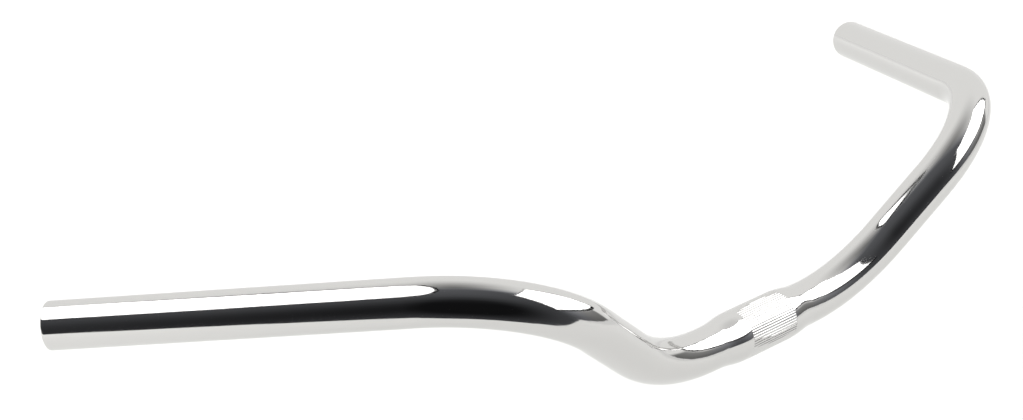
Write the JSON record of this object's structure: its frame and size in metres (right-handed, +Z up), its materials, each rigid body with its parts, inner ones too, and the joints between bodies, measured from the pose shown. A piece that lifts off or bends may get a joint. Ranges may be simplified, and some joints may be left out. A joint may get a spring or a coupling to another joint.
{
  "type": "bicycle handlebar",
  "caption": "Swept-back city bicycle handlebar bent from one aluminium tube, with a swelled and knurled clamp zone and two straight open grip ends.",
  "frame": {"origin": "middle of the clamp zone, on the tube's axis", "axes": "+X along the clamp zone to the rider's right, +Y straight ahead, +Z up as the bar is clamped on a bicycle"},
  "size_m": [0.6106, 0.1919, 0.0938],
  "materials": {
    "polished_aluminium": "polished and clear anodised"
  },
  "bodies": {
    "root": {"handlebar": "polished_aluminium"}
  },
  "joints": []
}
